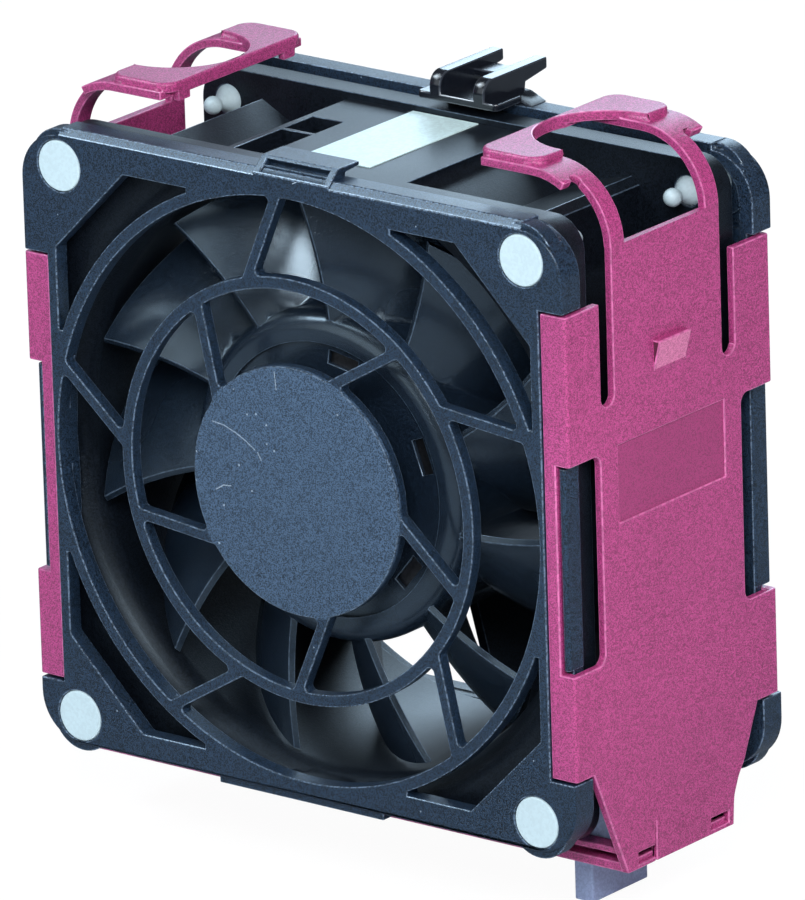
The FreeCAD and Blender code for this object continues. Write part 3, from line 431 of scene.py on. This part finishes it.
frame_edge = 0.00018
blue_sheen = (0.72, 0.87, 1.0)
black = moulded("black_nylon", (0.0105, 0.022, 0.043), grain_size=0.00015, grain_depth=0.6, speckle=0.75, rough=0.38,
                sheen=blue_sheen, wear_and_painted_light=frame_wear_and_sheen)
# Paler, glossier copy of the black for the bevelled edges: a painted highlight.
black_highlight_edge = moulded("black_nylon_highlight_edge", (0.066, 0.096, 0.140), grain_size=0.0003, grain_depth=0.4, speckle=0.6,
                     rough=0.28, gloss=0.8, sheen=blue_sheen)
for node in ("front_frame", "rear_frame"):
    fit_out(rounded(node + "_moulding", loose_shape(node), frame_edge, black, black_highlight_edge), "module", node)

# Carrier and handles
# One red-violet moulding bent round the fan like a U. The strip between two slots carries a latch wedge and
# the handle's two arms, and bends at its root, so the cut between the two pieces is flush and doesn't show.
root_low = 0.0172
root_high = 0.0225
root_front = 0.0096
root_rear = 0.0376
lip_top = 0.0345
half_inside = 0.044
carrier_bevel = 0.0002
wedge_from = 0.04858
# The wedges' outer faces get painted light and their front sides painted shade.
wedge_painted_light = (0.66, 0.20, 0.37)
wedge_painted_shade = (0.05, 0.008, 0.02)
painted_shade_share = 0.9
panel_face = 0.0482
panel_play = 0.00012
panel_colour = (0.25, 0.022, 0.105)


def owner(point):
    """Side of the handle that a point of the joined moulding belongs to, or 0 for the carrier."""
    side = 1 if point.x > 0 else -1
    if point.x * side < half_inside and point.z < lip_top:
        return 0
    return side if point.z > lip_top or (point.z > root_low and root_front < point.y < root_rear) else 0


def carrier_painted_light_and_panel(nodes, links, place, paint, fine):
    """Painted light on the wedges' outer faces, painted shade beside them, and a duller recessed panel."""
    axis = parted(nodes, links, place)
    facing = parted(nodes, links, nodes.new("ShaderNodeNewGeometry").outputs["True Normal"])
    out = math_node(nodes, links, "ABSOLUTE", axis["X"])
    proud = math_node(nodes, links, "GREATER_THAN", out, wedge_from)
    side_on = math_node(nodes, links, "LESS_THAN", facing["Y"], -0.5)
    square_on = math_node(nodes, links, "GREATER_THAN", math_node(nodes, links, "ABSOLUTE", facing["X"]), 0.8)
    lit_face_mask = both(nodes, links, both(nodes, links, proud, square_on), spread(nodes, links, fine, 0.5, 0.9))
    shaded_side_mask = both(nodes, links, both(nodes, links, proud, side_on), painted_shade_share)
    sunk = math_node(nodes, links, "COMPARE", out, panel_face, panel_play)
    below_root = math_node(nodes, links, "LESS_THAN", axis["Z"], root_low)
    in_panel = both(nodes, links, both(nodes, links, sunk, below_root), square_on)
    dull = both(nodes, links, in_panel, spread(nodes, links, fine, 0.2, 0.6))
    for colour, amount in ((wedge_painted_light, lit_face_mask), (wedge_painted_shade, shaded_side_mask), (panel_colour, dull)):
        paint = layered(nodes, links, paint, colour, amount)
    return paint


carrier_plastic = moulded("red_violet_nylon", (0.35, 0.042, 0.165), grain_size=0.00015, grain_depth=0.5, speckle=0.38,
                          rough=0.42, wear_and_painted_light=carrier_painted_light_and_panel)
# Paler copy of the red-violet for the bevelled edges: a painted highlight.
carrier_highlight_edge = moulded("red_violet_highlight_edge", (0.50, 0.115, 0.28), grain_size=0.0006, grain_depth=0.3, speckle=0.2,
                       rough=0.3, gloss=0.6)
cut_gap = 0.0003
cut_play = 5e-5
level_play = 1e-3
rim_play = 1.5e-4
cut_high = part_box("handle_right")[0].z
cut_low = cut_high - cut_gap


def is_cap(face):
    """Whether a face closes the carrier or a handle at the cut between them."""
    middle = face.calc_center_median()
    return (abs(abs(face.normal.z) - 1) < level_play and abs(middle.x) > half_inside
            and min(abs(middle.z - cut_high), abs(middle.z - cut_low)) < cut_play
            and root_front < middle.y < root_rear)


shape = loose_shape("carrier", "handle_right", "handle_left")
bmesh.ops.delete(shape, geom=[face for face in shape.faces if is_cap(face)], context="FACES_ONLY")
rim = [vert for vert in shape.verts if vert.is_boundary]
for vert in rim:
    vert.co.z = (cut_high + cut_low) / 2
bmesh.ops.remove_doubles(shape, verts=rim, dist=rim_play)
whole = rounded("carrier_and_handles", shape, carrier_bevel, carrier_plastic, carrier_highlight_edge)
shape = bmesh.new()
shape.from_mesh(whole.data)
upward, rearward = (0, 0, 1), (0, 1, 0)
for place, direction in (((0, 0, root_low), upward), ((0, root_front, 0), rearward), ((0, root_rear, 0), rearward),
                         ((0, 0, lip_top), upward), ((0, 0, root_high), upward),
                         ((0, 0, (root_low + root_high) / 2), upward)):
    bmesh.ops.bisect_plane(shape, geom=shape.verts[:] + shape.edges[:] + shape.faces[:], plane_co=place,
                           plane_no=direction)
for name, side in (("carrier_moulding", 0), ("handle_right_strip", 1), ("handle_left_strip", -1)):
    part = shape.copy()
    others = [face for face in part.faces if owner(face.calc_center_median()) != side]
    bmesh.ops.delete(part, geom=others, context="FACES")
    piece = new_piece(name, part, carrier_plastic, carrier_highlight_edge)
    settle_normals(piece)
    if side:
        arm = "right" if side > 0 else "left"
        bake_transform(piece)
        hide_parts("handle_" + arm)
    else:
        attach(piece, "module")
        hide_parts("carrier")
shape.free()
bpy.data.objects.remove(whole)

# Isolators
# Silicone plugs with flat heads and double bulbs, pulled through the corner holes of frame and flange.
# Each is moulded in one piece and has a pale, dull, wax-like skin.
isolator_edge = 0.00015
pale_silicone = moulded("pale_silicone", (0.49, 0.62, 0.67), grain_size=0.0004, grain_depth=0.15, speckle=0.03,
                        rough=0.5)
for end in ("front", "rear"):
    node = end + "_isolators"
    fit_out(rounded(node + "_plugs", loose_shape(node), isolator_edge, pale_silicone, pale_silicone), "module", node)

# Fan housing and impeller
# The fan's own black mouldings: duct, flanges and vanes in one piece, and the bladed cap pressed over the
# rotor's steel cup. The impeller is the glossier of the two.
fan_edge = 0.00012
housing_black = moulded("housing_black", (0.004, 0.006, 0.010), grain_size=0.0002, grain_depth=0.35, speckle=0.5,
                        rough=0.40, gloss=0.3, sheen=blue_sheen)
impeller_black = moulded("impeller_black", (0.008, 0.015, 0.027), grain_size=0.00018, grain_depth=0.35, speckle=0.4,
                         rough=0.26, gloss=1.0, sheen=(0.70, 0.87, 1.0))
# Paler copy of the black for the bevelled edges of housing and impeller: a painted highlight.
impeller_highlight_edge = moulded("impeller_highlight_edge", (0.055, 0.08, 0.115), grain_size=0.0006, grain_depth=0.3, speckle=0.3,
                        rough=0.26, gloss=0.8, sheen=blue_sheen)
for node, body, skin in (("fan_housing", "module", housing_black), ("impeller", "rotor", impeller_black)):
    fit_out(rounded(node + "_moulding", loose_shape(node), fan_edge, skin, impeller_highlight_edge), body, node)

# Guide clip
# Two fins on a small foot, moulded in a glossier black plastic than the frames and snapped on the rear
# frame's top rail.
clip_edge = 0.00025
gloss_black = moulded("gloss_black", (0.006, 0.008, 0.013), grain_size=0.0008, grain_depth=0.05, speckle=0.1,
                      rough=0.2)
# Paler copy of the gloss black for the clip's bevelled edges: a painted highlight.
gloss_highlight_edge = moulded("gloss_black_highlight_edge", (0.030, 0.036, 0.048), grain_size=0.0008, grain_depth=0.05, speckle=0.1,
                     rough=0.16, gloss=0.9)
fit_out(rounded("guide_clip_moulding", loose_shape("guide_clip"), clip_edge, gloss_black, gloss_highlight_edge), "module",
        "guide_clip")

# Plug
# Pale grey-blue blade, moulded round its plated contacts and held by the carrier's base. It slides into the
# bay's socket as the module goes in.
plug_edge = 0.0002
plug_plastic = moulded("grey_blue_plastic", (0.24, 0.30, 0.47), grain_size=0.0003, grain_depth=0.15, speckle=0.1,
                       rough=0.42)
fit_out(rounded("plug_body", loose_shape("connector_housing"), plug_edge, plug_plastic, plug_plastic), "module",
        "connector_housing")


# Label
# A bare pale film with an adhesive back, stuck on the duct's flat pad.
# Its own CAD shape shows, with the finish of the film.
def paint_node(name, material):
    """Gives a CAD node that shows one finish."""
    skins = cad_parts[name].data.materials
    skins.clear()
    skins.append(material)


label_film = moulded("label_film", (0.56, 0.72, 0.73), grain_size=0.0005, grain_depth=0.08, speckle=0.06, rough=0.4)
paint_node("rating_label", label_film)


# Motor parts
# Turned and stamped steel, wound copper, a ferrite ring, moulded bobbins and a green board inside the hub.
# They are pressed and soldered together, and show only through the vents and gaps.
def metal(name, colour, rough):
    """Drawn or turned metal with fine scratches."""
    material = moulded(name, colour, grain_size=0.0004, grain_depth=0.12, speckle=0.08, rough=rough)
    material.node_tree.nodes["Principled BSDF"].inputs["Metallic"].default_value = 1
    return material


steel = metal("turned_steel", (0.60, 0.60, 0.62), 0.32)
# Steel for the rotor cup and stator core, darkened to stand for the shade inside the hub: painted shade.
shade_darkened_steel = metal("steel_darkened_as_hub_shade", (0.10, 0.10, 0.11), 0.42)
brass = metal("plated_brass", (0.80, 0.63, 0.32), 0.28)
copper = metal("enamelled_copper", (0.60, 0.26, 0.11), 0.35)
ferrite = moulded("ferrite", (0.04, 0.036, 0.034), grain_size=0.0005, grain_depth=0.3, speckle=0.2, rough=0.6)
board_green = moulded("solder_resist", (0.025, 0.15, 0.06), grain_size=0.002, grain_depth=0.05, speckle=0.1, rough=0.3)
bobbin = moulded("bobbin_plastic", (0.05, 0.055, 0.065), grain_size=0.0006, grain_depth=0.2, speckle=0.08, rough=0.45)
inner_finishes = {
    shade_darkened_steel: ["rotor_yoke", "stator_core"],
    steel: ["shaft", "front_bearing_outer_race", "front_bearing_inner_race", "front_bearing_balls",
            "rear_bearing_outer_race", "rear_bearing_inner_race", "rear_bearing_balls", "preload_washer",
            "retaining_clip"],
    brass: ["connector_contacts"],
    copper: ["stator_coils"],
    ferrite: ["rotor_magnet"],
    board_green: ["circuit_board"],
    housing_black: ["board_parts"],
    bobbin: ["stator_insulator"],
}
for material, names in inner_finishes.items():
    for name in names:
        paint_node(name, material)

# Last steps
# Colours go to the picture as they are.
bpy.context.scene.view_settings.view_transform = "Standard"
